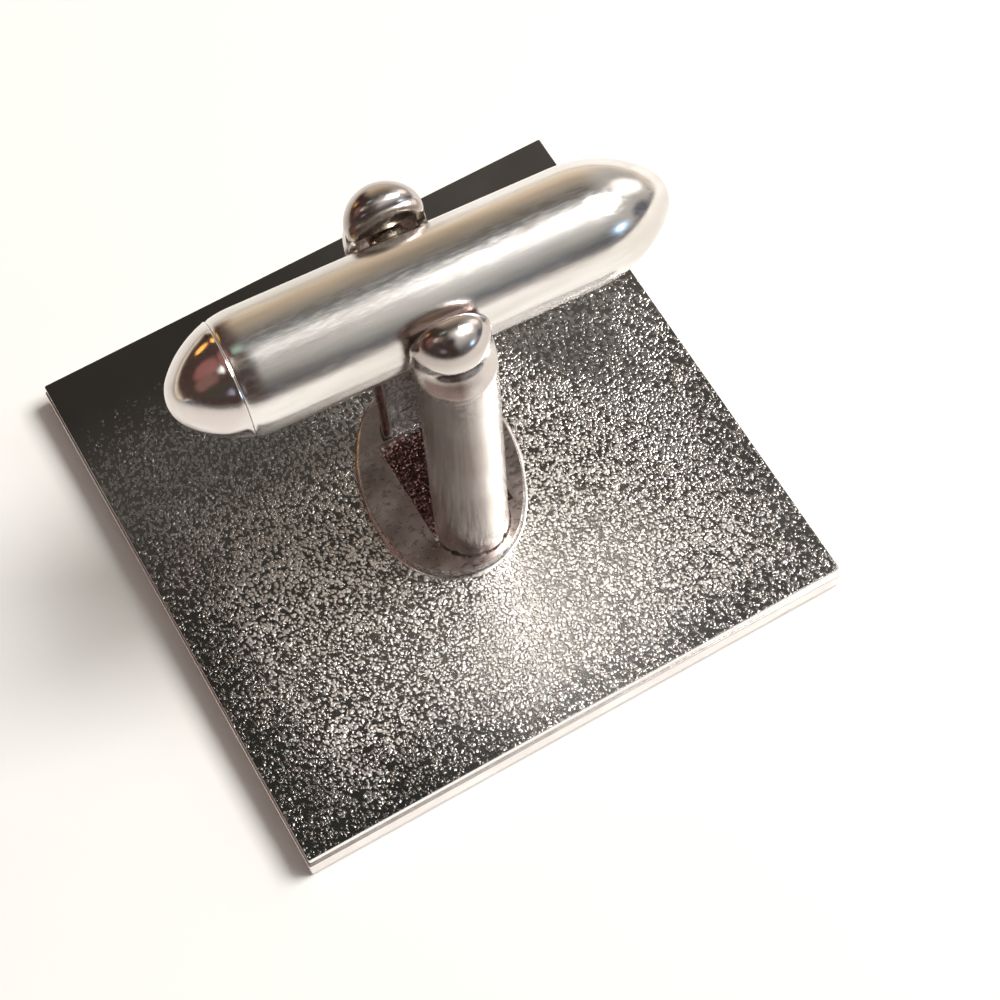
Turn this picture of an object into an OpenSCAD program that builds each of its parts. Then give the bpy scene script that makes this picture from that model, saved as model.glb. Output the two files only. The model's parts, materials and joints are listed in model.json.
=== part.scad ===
// Cufflink with a square plate and a swivelling bullet bar, millimetres.
// The plate lies face down on z = 0, and +Z is the way its back faces.
// The bar lies along X at rest and turns about the pivot pin, which lies along Y.

/* [Plate] */
// Side of the square back plate
plate_side = 22; // [18:0.5:30]
// Thickness of the face plate
face_t = 0.9; // [0.6:0.05:2]
// Thickness of the back plate
back_t = 0.5; // [0.4:0.05:1.2]
// How far the face plate stands out past the back plate
face_lip = 0.07; // [0:0.01:0.3]
// Radius of the plates' corners
corner_r = 0.3; // [0.1:0.05:2]
// Bright bevel round the back plate's outer edge
back_bevel = 0.16; // [0.05:0.01:0.25]
// Bevel round the face plate's front edge
front_bevel = 0.14; // [0.05:0.01:0.3]
// Bevels that open the seam between the two plates
seam_bevel = 0.05; // [0.01:0.01:0.1]

/* [Set of the fork on the plate] */
// Turn of the fork about Z, as it was soldered on
set_turn = -3.65; // [-10:0.05:10]
// Place of the pivot along X
set_x = 0.4; // [-2:0.05:2]
// Place of the pivot along Y
set_y = -0.2; // [-2:0.05:2]
// Height of the pivot above the plate's back
pivot_h = 13; // [12:0.1:18]

/* [Foot] */
// Width of the foot's band on each side of the window
foot_band = 1.3; // [0.9:0.1:3]
// Width of the foot's rim past the roots of the legs
foot_rim = 0.3; // [0.25:0.05:2]
// Radius of the oval's ends, as a share of its half-width
foot_end_share = 0.88; // [0.84:0.01:0.95]
// Thickness of the foot
foot_t = 0.4; // [0.3:0.05:0.8]
// Turn of the oval against the legs
foot_turn = -10; // [-12:1:12]
// How far the oval's middle lies off the pivot along the bar
foot_x = -0.1; // [-0.3:0.05:0.3]
// Width of the window between the legs
window_w = 3.3; // [1.5:0.1:3.6]
// Turn of the window against the legs
window_turn = 4; // [-5:0.5:5]
// Space round a leg in the foot's slot
slot_gap = 0.04; // [0.02:0.01:0.1]

/* [Legs] */
// Thickness of the sheet that the legs are pressed from
sheet_t = 0.3; // [0.2:0.02:0.34]
// Outer radius of the half-round stem
stem_r = 1.42; // [1.36:0.02:1.46]
// Outer radius of the stem's flared root
root_r = 1.46; // [1.44:0.02:1.6]
// Height of the flare
flare_h = 2.4; // [1:0.1:4]
// Outer radius of the head and its dome
head_r = 1.46; // [1.36:0.02:1.7]
// Space between the bar and each head's open side
leg_gap = 0.2; // [0.16:0.02:0.4]
// How far the open side of a stem's top lies out from its head's
neck_out = 0.38; // [0.2:0.02:0.5]
// How far the front stem's root lies out from its head's open side
front_root_out = 0.06; // [0:0.02:0.2]
// How far the rear stem's root lies in from its head's open side
rear_root_in = 0.24; // [0:0.02:0.3]
// Height above the pivot at which the shoulder meets the head's open side
shoulder_rise = 0.25; // [0:0.05:0.4]
// Fall of the shoulder from the open side to the back, in degrees
shoulder_slope = 30; // [20:1:34]
// Height of the dome's centre above the pivot
dome_rise = 1.14; // [1:0.05:2]
// Radius round the crown on the side of the bar
crown_r = 0.8; // [0.5:0.05:1]
// How far the brow, the lower edge of the head's inner wall, lies under the dome's centre
brow_drop = 0.1; // [0:0.02:0.2]
// Radius of the crimp pressed into the head to hold the pin
crimp_r = 0.75; // [0.6:0.05:0.9]
// Depth of the crimp
crimp_depth = 0.3; // [0.1:0.02:0.36]
// Height of the crimp's middle above the pivot
crimp_rise = 0.4; // [0.2:0.05:0.5]

/* [Pin] */
// Diameter of the pivot pin
pin_d = 1.26; // [1.1:0.02:1.3]
// Distance across the pin's milled flats
pin_flats = 0.96; // [0.8:0.02:1]
// Length of the milled flats
flats_l = 2.2; // [2:0.1:2.6]
// Space between the pin's ends and the inside of the legs
pin_seat_gap = 0.02; // [0.01:0.01:0.05]

/* [Bar] */
// Length of the bar
bar_l = 18.08; // [16:0.02:22]
// Diameter of the bar
bar_d = 4.28; // [4:0.02:5]
// How far the bar's middle lies off the pivot, towards its closed end
bar_shift = 0.06; // [-0.5:0.02:0.5]
// Length of the nose at the closed end
nose_l = 3.4; // [2.6:0.1:4]
// Radius of the closed end's tip
nose_tip_r = 1.2; // [1.1:0.02:1.6]
// Length over which the cap's end curves
cap_nose_l = 3.1; // [2.8:0.1:4]
// Radius of the cap's tip
cap_tip_r = 1.3; // [1.1:0.02:1.5]
// Length of the cap that shows, from its tip to the seam
cap_l = 2.2; // [1.9:0.05:2.6]
// Diameter of the bore
bore_d = 3.4; // [3.2:0.05:3.6]
// Length of the cap's spigot inside the bore
spigot_l = 1.3; // [0.8:0.1:2]
// Wall of the spigot
spigot_t = 0.36; // [0.25:0.01:0.5]
// Space between the spigot and the bore
spigot_fit = 0.01; // [0.005:0.005:0.03]
// Depth of the groove that shows at the seam
seam_depth = 0.06; // [0.02:0.01:0.12]

/* [Bushes] */
// Outside diameter of the bushes in the bar's walls
bush_d = 1.7; // [1.6:0.02:1.9]
// Length of a bush
bush_l = 0.8; // [0.7:0.05:1]
// How far a bush stands out past the bar's side
bush_proud = 0.1; // [0.04:0.01:0.14]
// Running clearance between pin and bush, on the radius
pin_clear = 0.02; // [0.01:0.01:0.05]
// Space round a bush in the wall, on the radius
bush_fit = 0.01; // [0.005:0.005:0.02]

/* [Spring] */
// Thickness of the spring strip
leaf_t = 0.18; // [0.12:0.01:0.22]
// Width of the spring strip
leaf_w = 1.8; // [1.2:0.1:2]
// Place of the hairpin's bend, as a share of the closed end's nose
bend_share = 0.4; // [0.2:0.05:0.5]
// Space between the strip and the pin's flats at rest
leaf_gap = 0.01; // [0.005:0.005:0.02]
// Inner radius of the curl at the strip's free ends
curl_r = 0.35; // [0.25:0.05:0.45]
// Space between the curls and the cap's spigot
curl_gap = 0.1; // [0.05:0.05:0.3]

/* [Hidden] */
$fn = 40;
// Overrun of every cut past the face that it leaves
cut = 0.1;

plate_t = face_t + back_t;
face_side = plate_side + 2 * face_lip;

bar_r = bar_d / 2;
bore_r = bore_d / 2;
bar_wall = bar_r - bore_r;
// Flat open side of each head, measured from the bar's axis
leg_face = bar_r + leg_gap;
dome_z = pivot_h + dome_rise;
shoulder_z = pivot_h + shoulder_rise;
brow_z = dome_z - brow_drop;
leg_top = dome_z + head_r;
head_bore_r = head_r - sheet_t;
head_low_z = shoulder_z - head_r * tan(shoulder_slope) - 2 * sheet_t;
crimp_y = head_r - crimp_depth + crimp_r;

front_out = leg_face + front_root_out;
rear_out = leg_face - rear_root_in;
foot_a = window_w / 2 + foot_band;
foot_b = front_out + root_r + slot_gap + foot_rim;

nose_shoulder = bar_l / 2 - nose_l;
cap_shoulder = bar_l / 2 - cap_nose_l;
seam_x = bar_l / 2 - cap_l;
spigot_end = seam_x - spigot_l;
spigot_r = bore_r - spigot_fit;
spigot_bore_r = spigot_r - spigot_t;
// Radius of the bar's outside at the seam, on the cap's long side arc
seam_r = bar_r - arc_sag(side_arc_r(bar_r, cap_nose_l, cap_tip_r), seam_x - cap_shoulder);

pin_r = pin_d / 2;
bush_out = bar_r + bush_proud;
leaf_in = pin_flats / 2 + leaf_gap;
leaf_out = leaf_in + leaf_t;
bend_x = nose_shoulder + bend_share * nose_l;
curl_x = spigot_end - curl_gap - curl_r - leaf_t;

// Radius of the long side arcs of a four-arc oval of half-width a, half-length b and end radius e
function side_arc_r(a, b, e) = (a * a + (b - e) * (b - e) - e * e) / (2 * (a - e));

// How far an arc of radius r falls away over the distance d along its tangent
function arc_sag(r, d) = r - sqrt(r * r - d * d);

// Where the end arc of such an oval meets its side arcs, along the length
function oval_join(a, b, e) = (b - e) * (1 + e / (side_arc_r(a, b, e) - e));

// Four-arc oval, with its length along the second axis
module oval(a, b, e) {
    side_r = side_arc_r(a, b, e);
    join = oval_join(a, b, e);
    intersection() {
        translate([a - side_r, 0]) circle(r = side_r, $fn = 2 * $fn);
        translate([side_r - a, 0]) circle(r = side_r, $fn = 2 * $fn);
        translate([-a, -join]) square([2 * a, 2 * join]);
    }
    translate([0, b - e]) circle(r = e);
    translate([0, e - b]) circle(r = e);
}

// Quarter of an oval, for lathe profiles: the radius is on the first axis
module nose_profile(a, b, e) {
    intersection() {
        oval(a, b, e);
        square([a, b]);
    }
}

// Where the fork stands on the plate's back
module on_plate() {
    translate([set_x, set_y, plate_t]) rotate([0, 0, set_turn]) children();
}

// The pivot's place, with X along the bar and Y along the pin
module at_pivot() {
    on_plate() translate([0, 0, pivot_h]) children();
}

// The bar's middle, with X along the bar
module at_bar() {
    at_pivot() translate([bar_shift, 0, 0]) children();
}

// Lathe work is drawn about Z and laid along the bar, its upper end towards +X
module along_bar() {
    rotate([0, 90, 0]) children();
}

// Side view of a plate with both edges bevelled
module plate_profile(side, t, low, high) {
    half = side / 2;
    polygon([
        [low - half, 0], [half - low, 0], [half, low], [half, t - high],
        [half - high, t], [high - half, t], [-half, t - high], [-half, low]
    ]);
}

// Plan of a plate with round corners
module plate_plan(side) {
    inner = side - 2 * corner_r;
    square([side, inner], center = true);
    square([inner, side], center = true);
    for (x = [-1, 1], y = [-1, 1])
        translate([x * inner / 2, y * inner / 2]) circle(r = corner_r);
}

// Square plate, bevelled on all four sides
module bevelled_plate(side, t, low, high) {
    intersection() {
        linear_extrude(height = t) plate_plan(side);
        rotate([90, 0, 0]) linear_extrude(height = side, center = true)
            plate_profile(side, t, low, high);
        rotate([90, 0, 90]) linear_extrude(height = side, center = true)
            plate_profile(side, t, low, high);
    }
}

module face_plate() {
    color("gainsboro") bevelled_plate(face_side, face_t, front_bevel, seam_bevel);
}

module back_plate() {
    color("dimgray") translate([0, 0, face_t])
        bevelled_plate(plate_side, back_t, seam_bevel, back_bevel);
}

// Slot of one leg's root, which opens into the window
module root_slot(root_out) {
    translate([0, root_out]) intersection() {
        circle(r = root_r + slot_gap);
        translate([-2 * root_r, -slot_gap]) square([4 * root_r, 3 * root_r]);
    }
}

// Oval foot with slots that hold both legs and a window between them
module foot_pad() {
    color("darkgray") on_plate() linear_extrude(height = foot_t) difference() {
        translate([foot_x, 0]) rotate(foot_turn) oval(foot_a, foot_b, foot_a * foot_end_share);
        rotate(window_turn) translate([-window_w / 2, -front_out])
            square([window_w, front_out + rear_out]);
        rotate(180) root_slot(front_out);
        root_slot(rear_out);
    }
}

// Half section of a stem, drawn in by a thickness all over, radius on the first axis
module stem_profile(inset) {
    polygon([
        [0, -sheet_t], [root_r - inset, -sheet_t], [root_r - inset, 0],
        [stem_r - inset, flare_h], [stem_r - inset, leg_top], [0, leg_top]
    ]);
}

// How a stem leans out from its root to its top
module lean(root_out) {
    translate([0, root_out, 0]) rotate([-atan2(neck_out - root_out, shoulder_z), 0, 0])
        children();
}

// All that lies under the sloping shoulder, lowered by a thickness
module under_shoulder(down) {
    translate([0, 0, shoulder_z]) rotate([-shoulder_slope, 0, 0])
        translate([-2 * root_r, -leg_top, -down - 2 * leg_top])
            cube([4 * root_r, 2 * leg_top, 2 * leg_top]);
}

// Trough's half of the stem up to the shoulder, the open side towards -Y
module half_stem(root_out) {
    intersection() {
        lean(root_out) rotate_extrude() stem_profile(0);
        lean(root_out) translate([-2 * root_r, 0, -root_r])
            cube([4 * root_r, 2 * root_r, 2 * leg_top]);
        translate([-2 * root_r, -root_r, 0]) cube([4 * root_r, 4 * root_r, leg_top]);
        under_shoulder(0);
    }
}

// Round head and its dome, from a little under the shoulder
module round_head(r) {
    translate([0, 0, head_low_z]) cylinder(r = r, h = dome_z - head_low_z);
    translate([0, 0, dome_z]) sphere(r = r);
}

// All that lies outward of the head's inner wall and under its crown, which is rounded over
module behind_wall(inset) {
    rotate([90, 0, 90]) linear_extrude(height = 4 * head_r, center = true) {
        translate([crown_r, leg_top - crown_r]) circle(r = crown_r - inset);
        translate([inset, 0]) square([2 * head_r, leg_top - crown_r]);
        translate([crown_r, 0]) square([2 * head_r, leg_top - inset]);
    }
}

// Bar across the head, which the crimp's round tool leaves
module crimp_bar(r) {
    translate([0, crimp_y, pivot_h + crimp_rise]) rotate([0, 90, 0])
        cylinder(r = r, h = 4 * head_r, center = true);
}

// Outside of a leg: stem, head and crown, with the crimp
module leg_outside(root_out) {
    difference() {
        union() {
            half_stem(root_out);
            difference() {
                intersection() {
                    round_head(head_r);
                    behind_wall(0);
                }
                under_shoulder(sheet_t / 2);
            }
        }
        crimp_bar(crimp_r);
    }
}

// Hollow of a leg, one sheet's thickness inside, closed above the brow
module leg_hollow(root_out) {
    difference() {
        union() {
            intersection() {
                lean(root_out) rotate_extrude() stem_profile(sheet_t);
                under_shoulder(sheet_t);
            }
            translate([0, 0, head_low_z]) cylinder(r = head_bore_r, h = brow_z - head_low_z);
            intersection() {
                round_head(head_bore_r);
                behind_wall(sheet_t);
            }
        }
        crimp_bar(crimp_r + sheet_t);
    }
}

// One pressed leg, its head's open side on the plane y = 0 and its back towards +Y
module leg(root_out) {
    difference() {
        leg_outside(root_out);
        leg_hollow(root_out);
    }
}

module front_leg() {
    color("silver") on_plate() rotate([0, 0, 180]) translate([0, leg_face, 0])
        leg(front_root_out);
}

module rear_leg() {
    color("silver") on_plate() translate([0, leg_face, 0]) leg(-rear_root_in);
}

// Inside of a head as the pin's end meets it
module pin_reach() {
    translate([0, leg_face, 0])
        cylinder(r = head_bore_r - pin_seat_gap, h = 2 * pin_d, center = true);
}

// Round pin with four milled flats, its ends shaped to the heads and keyed on the crimps
module pivot_pin() {
    color("tan") at_pivot() difference() {
        intersection() {
            rotate([90, 0, 0]) cylinder(r = pin_r, h = 4 * leg_face, center = true);
            union() {
                cube([2 * pin_d, 2 * leg_face, 2 * pin_d], center = true);
                pin_reach();
                mirror([0, 1, 0]) pin_reach();
            }
        }
        for (side = [0, 180])
            rotate([0, 0, side]) translate([0, leg_face, -pivot_h])
                crimp_bar(crimp_r + sheet_t + pin_seat_gap);
        for (turn = [0, 90, 180, 270])
            rotate([0, turn, 0]) translate([pin_flats / 2, -flats_l / 2, -pin_d])
                cube([pin_d, flats_l, 2 * pin_d]);
    }
}

// Half section of the whole bar, radius on the first axis
module bar_profile() {
    translate([0, nose_shoulder]) nose_profile(bar_r, nose_l, nose_tip_r);
    translate([0, -cap_shoulder]) mirror([0, 1]) nose_profile(bar_r, cap_nose_l, cap_tip_r);
    translate([0, -cap_shoulder]) square([bar_r, nose_shoulder + cap_shoulder]);
}

// Half section of the bore, open at the seam and round at the closed end
module bore_profile() {
    translate([0, -seam_x - cut]) square([bore_r, nose_shoulder + seam_x + cut]);
    translate([0, nose_shoulder])
        nose_profile(bore_r, nose_l - bar_wall, nose_tip_r - bar_wall);
}

// Small corner groove that marks the seam
module seam_groove() {
    translate([seam_r, -seam_x]) rotate(45)
        square(2 * seam_depth / sqrt(2), center = true);
}

module toggle_tube() {
    color("lightsteelblue") difference() {
        at_bar() along_bar() rotate_extrude() difference() {
            bar_profile();
            bore_profile();
            translate([0, -bar_l]) square([2 * bar_r, bar_l - seam_x]);
            seam_groove();
        }
        at_pivot() rotate([90, 0, 0])
            cylinder(r = bush_d / 2 + bush_fit, h = 4 * bar_r, center = true);
    }
}

module toggle_cap() {
    color("silver") at_bar() along_bar() rotate_extrude() difference() {
        union() {
            intersection() {
                bar_profile();
                translate([0, -bar_l]) square([2 * bar_r, bar_l - seam_x]);
            }
            translate([0, -seam_x]) square([spigot_r, spigot_l]);
        }
        translate([0, -seam_x]) square([spigot_bore_r, spigot_l + cut]);
        translate([0, -seam_x]) mirror([0, 1])
            nose_profile(spigot_bore_r, cap_l - bar_wall, cap_tip_r - bar_wall);
        seam_groove();
    }
}

// Short sleeve pressed into the bar's wall, its outer face towards -Y
module bush() {
    translate([0, -bush_out, 0]) rotate([-90, 0, 0]) difference() {
        cylinder(r = bush_d / 2, h = bush_l);
        translate([0, 0, -cut]) cylinder(r = pin_r + pin_clear, h = bush_l + 2 * cut);
    }
}

module front_bush() {
    color("goldenrod") at_pivot() bush();
}

module rear_bush() {
    color("goldenrod") at_pivot() mirror([0, 1, 0]) bush();
}

// Upper half of the hairpin in side view: bend, leaf and curled tail
module hairpin_half() {
    translate([-curl_x, leaf_in]) square([bend_x + curl_x, leaf_t]);
    intersection() {
        translate([bend_x, 0]) difference() {
            circle(r = leaf_out);
            circle(r = leaf_in);
        }
        translate([bend_x, 0]) square([leaf_out, leaf_out]);
    }
    intersection() {
        translate([-curl_x, leaf_out + curl_r]) difference() {
            circle(r = curl_r + leaf_t);
            circle(r = curl_r);
        }
        translate([-curl_x - curl_r - leaf_t, leaf_in]) square([curl_r + leaf_t, curl_r + leaf_t]);
    }
}

// Hairpin of spring strip whose leaves press on the pin's flats
module detent_spring() {
    color("slategray") at_bar() rotate([90, 0, 0])
        linear_extrude(height = leaf_w, center = true) {
            hairpin_half();
            mirror([0, 1]) hairpin_half();
        }
}

face_plate();
back_plate();
foot_pad();
front_leg();
rear_leg();
pivot_pin();
toggle_tube();
toggle_cap();
front_bush();
rear_bush();
detent_spring();
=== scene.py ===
import json
import math
from collections import namedtuple

import bmesh
import bpy
import numpy as np
from mathutils import Matrix, Vector


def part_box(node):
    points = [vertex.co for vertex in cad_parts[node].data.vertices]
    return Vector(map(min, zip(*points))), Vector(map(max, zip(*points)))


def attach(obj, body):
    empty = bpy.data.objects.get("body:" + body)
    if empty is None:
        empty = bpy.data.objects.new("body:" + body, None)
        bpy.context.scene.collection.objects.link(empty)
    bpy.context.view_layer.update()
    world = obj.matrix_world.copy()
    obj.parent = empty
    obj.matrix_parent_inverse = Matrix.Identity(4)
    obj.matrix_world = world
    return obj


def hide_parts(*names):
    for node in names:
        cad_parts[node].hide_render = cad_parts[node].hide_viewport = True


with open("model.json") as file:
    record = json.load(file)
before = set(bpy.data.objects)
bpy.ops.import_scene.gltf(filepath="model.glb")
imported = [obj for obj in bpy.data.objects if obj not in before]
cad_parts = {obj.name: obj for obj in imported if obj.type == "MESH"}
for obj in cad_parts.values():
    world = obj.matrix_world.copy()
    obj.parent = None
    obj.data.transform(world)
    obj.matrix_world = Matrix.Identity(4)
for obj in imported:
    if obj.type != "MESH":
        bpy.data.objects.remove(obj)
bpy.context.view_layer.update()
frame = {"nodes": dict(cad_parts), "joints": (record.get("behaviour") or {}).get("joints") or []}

# Back plate, on top because the cufflink lies face down. It is sheet cast with a
# fine worm-like grain and plated dark silver, its edges barely broken and
# polished, and it is soldered flat to the face plate.

mm = 0.001
plate_low, plate_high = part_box("back_plate")
half_side = plate_high.x
corner_radius = 0.07 * mm
bead_size, bead_height = 0.125 * mm, 0.042 * mm
paler_crests_middle = (1.4 * mm, -6.4 * mm, plate_high.z)
# Middle of the painted pool of light on the plate's ground tone.
painted_light_middle = (0.3 * mm, -7.8 * mm, plate_high.z)
ground_tint = (1.0, 0.97, 0.94)
bead_tones = [(0.0, (0.70, 0.68, 0.66)), (0.5, (0.94, 0.90, 0.86)), (1.0, (1.0, 0.96, 0.91))]
polished_edge = (0.92, 0.88, 0.86)
# The copper's very dark ground is partly painted shade.
copper_in_painted_shade, copper_glint = (0.085, 0.045, 0.040), (0.50, 0.34, 0.31)

# The fork stands a little askew on the plate, square to the pin.
pivot = Vector(frame["joints"][0]["pos_m"])
pin_way = Vector(frame["joints"][0]["axis"]).normalized()
bar_way = pin_way.cross(Vector((0, 0, 1))).normalized()
fork_turn = math.atan2(bar_way.y, bar_way.x)
fork_place = Matrix.Translation((pivot.x, pivot.y, plate_high.z)) @ Matrix.Rotation(fork_turn, 4, "Z")


def new_material(name):
    made = bpy.data.materials.new(name)
    made.use_nodes = True
    tree = made.node_tree
    return made, tree, tree.nodes["Principled BSDF"]


def add(tree, kind, inputs=None, **settings):
    """A node with its settings and inputs, each input a value or another node's socket."""
    node = tree.nodes.new(kind)
    for key, value in settings.items():
        setattr(node, key, value)
    for key, value in (inputs or {}).items():
        socket = node.inputs[key]
        if isinstance(value, bpy.types.NodeSocket):
            tree.links.new(value, socket)
        else:
            socket.default_value = value
    return node


def maths(tree, operation, a, b=0.0, c=0.0):
    return add(tree, "ShaderNodeMath", {0: a, 1: b, 2: c}, operation=operation).outputs[0]


def rest_of(tree, share):
    return maths(tree, "SUBTRACT", 1.0, share)


def scaled(tree, vector, factor):
    return add(tree, "ShaderNodeVectorMath", {0: vector, "Scale": factor}, operation="SCALE").outputs[0]


def distance(tree, place, point):
    return add(tree, "ShaderNodeVectorMath", {0: place, 1: point},
               operation="DISTANCE").outputs["Value"]


def parts_of(tree, vector):
    node = add(tree, "ShaderNodeSeparateXYZ", {0: vector})
    return node.outputs[0], node.outputs[1], node.outputs[2]


def ramp(tree, value, stops):
    node = add(tree, "ShaderNodeValToRGB", {"Fac": value})
    elements = node.color_ramp.elements
    while len(elements) < len(stops):
        elements.new(0.5)
    for element, (place, colour) in zip(elements, stops):
        element.position = place
        element.color = (*colour, 1.0)
    return node.outputs["Color"]


def blend_colour(tree, fac, a, b):
    node = add(tree, "ShaderNodeMix", {0: fac}, data_type="RGBA")
    for index, value in ((6, a), (7, b)):
        if isinstance(value, bpy.types.NodeSocket):
            tree.links.new(value, node.inputs[index])
        else:
            node.inputs[index].default_value = (*value, 1.0)
    return node.outputs[2]


def remap(tree, value, low, high, to_low=0.0, to_high=1.0, smooth=True):
    return add(tree, "ShaderNodeMapRange",
               {"Value": value, "From Min": low, "From Max": high,
                "To Min": to_low, "To Max": to_high},
               interpolation_type="SMOOTHSTEP" if smooth else "LINEAR").outputs["Result"]


def bump(tree, skin, height, strength, depth):
    node = add(tree, "ShaderNodeBump", {"Height": height, "Strength": strength, "Distance": depth})
    tree.links.new(node.outputs[0], skin.inputs["Normal"])


def new_group(name, inputs, outputs):
    tree = bpy.data.node_groups.new(name, "ShaderNodeTree")
    for label, kind, value in inputs:
        socket = tree.interface.new_socket(label, in_out="INPUT", socket_type=kind)
        if value is not None:
            socket.default_value = value
    for label in outputs:
        tree.interface.new_socket(label, in_out="OUTPUT", socket_type="NodeSocketFloat")
    return tree, tree.nodes.new("NodeGroupInput"), tree.nodes.new("NodeGroupOutput")


def use_group(tree, group, inputs):
    node = tree.nodes.new("ShaderNodeGroup")
    node.node_tree = group
    for key, value in inputs.items():
        if isinstance(value, bpy.types.NodeSocket):
            tree.links.new(value, node.inputs[key])
        else:
            node.inputs[key].default_value = value
    return node


def cast_grain():
    """Casting grain: smooth ground with rounded beads, some run together into worms.

    Cover is the share of the cells that hold a bead.
    """
    tree, given, result = new_group(
        "cast_grain",
        [("Vector", "NodeSocketVector", None), ("Size", "NodeSocketFloat", 0.2 * mm),
         ("Cover", "NodeSocketFloat", 1.0)],
        ["Height", "Bead", "Patch"])
    vector, size, cover = (given.outputs[key] for key in ("Vector", "Size", "Cover"))
    per_metre = maths(tree, "DIVIDE", 1.0, size)

    def noise(fineness, detail):
        scale = maths(tree, "MULTIPLY", per_metre, fineness)
        return add(tree, "ShaderNodeTexNoise", {"Vector": vector, "Scale": scale, "Detail": detail})

    bend = add(tree, "ShaderNodeVectorMath", {0: noise(0.6, 1.0).outputs["Color"], 1: (0.5, 0.5, 0.5)},
               operation="SUBTRACT").outputs[0]
    bent = add(tree, "ShaderNodeVectorMath",
               {0: vector, 1: scaled(tree, bend, maths(tree, "MULTIPLY", size, 1.6))},
               operation="ADD").outputs[0]
    cell = add(tree, "ShaderNodeTexVoronoi", {"Vector": bent, "Scale": per_metre})
    chance, width, _ = parts_of(tree, cell.outputs["Color"])
    kept = remap(tree, maths(tree, "SUBTRACT", cover, chance), -0.02, 0.10)
    reach = maths(tree, "MULTIPLY", kept, maths(tree, "MULTIPLY_ADD", width, 0.20, 0.62))
    away = maths(tree, "DIVIDE", cell.outputs["Distance"], maths(tree, "MAXIMUM", reach, 0.01))
    bead = remap(tree, away, 1.0, 0.40)
    height = maths(tree, "MULTIPLY_ADD", noise(2.0, 1.0).outputs["Fac"], 0.20, bead)
    tree.links.new(height, result.inputs["Height"])
    tree.links.new(bead, result.inputs["Bead"])
    tree.links.new(noise(0.09, 2.0).outputs["Fac"], result.inputs["Patch"])
    return tree


grain = cast_grain()


def window_mask(tree, place):
    """1 inside the foot's window, 0 outside it."""
    turned_place = add(tree, "ShaderNodeMapping",
                       {"Vector": place, "Location": (pivot.x, pivot.y, 0.0),
                        "Rotation": (0, 0, fork_turn + math.radians(4))}, vector_type="TEXTURE")
    along, across, _ = parts_of(tree, turned_place.outputs[0])
    return maths(tree, "MULTIPLY",
                 remap(tree, maths(tree, "ABSOLUTE", along), 1.75 * mm, 1.55 * mm),
                 remap(tree, maths(tree, "ABSOLUTE", across), 2.3 * mm, 2.0 * mm))


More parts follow.
